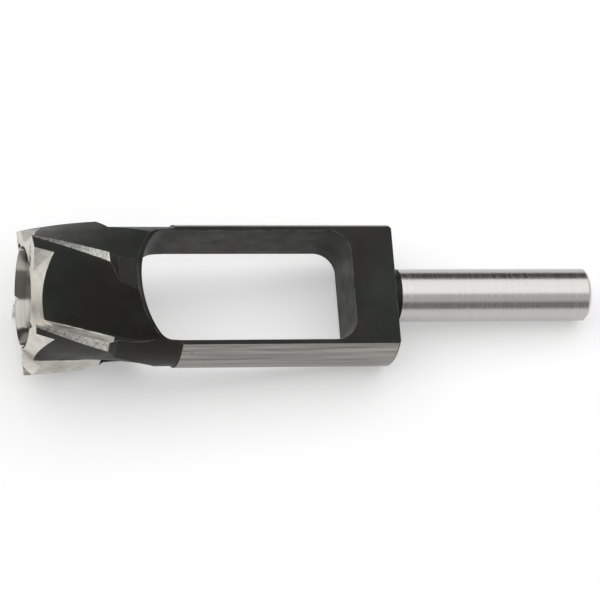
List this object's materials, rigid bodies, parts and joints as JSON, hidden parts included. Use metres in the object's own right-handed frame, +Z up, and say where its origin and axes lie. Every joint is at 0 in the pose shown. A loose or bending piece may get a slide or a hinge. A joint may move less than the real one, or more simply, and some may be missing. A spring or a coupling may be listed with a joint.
{
  "type": "plug cutter",
  "caption": "Tapered plug cutter with a toothed tubular head, an open-sided body with a long chip window and flats, and a plain round shank.",
  "frame": {"origin": "on the shank's axis, halfway along its ground length", "axes": "+X from the cutting teeth towards the shank's free end, +Z up, +Y away from the side that the picture is taken from; the tool lies on a level surface with one flat up, so its own axis drops 4.9 degrees along +X"},
  "size_m": [0.1432, 0.0363, 0.036],
  "materials": {
    "blackened_steel": "black oxide over the body, flats, window and gullets, with the teeth, the barrel's round strips, the bore and the shank ground bright"
  },
  "bodies": {
    "root": {"plug_cutter": "blackened_steel"}
  },
  "joints": []
}
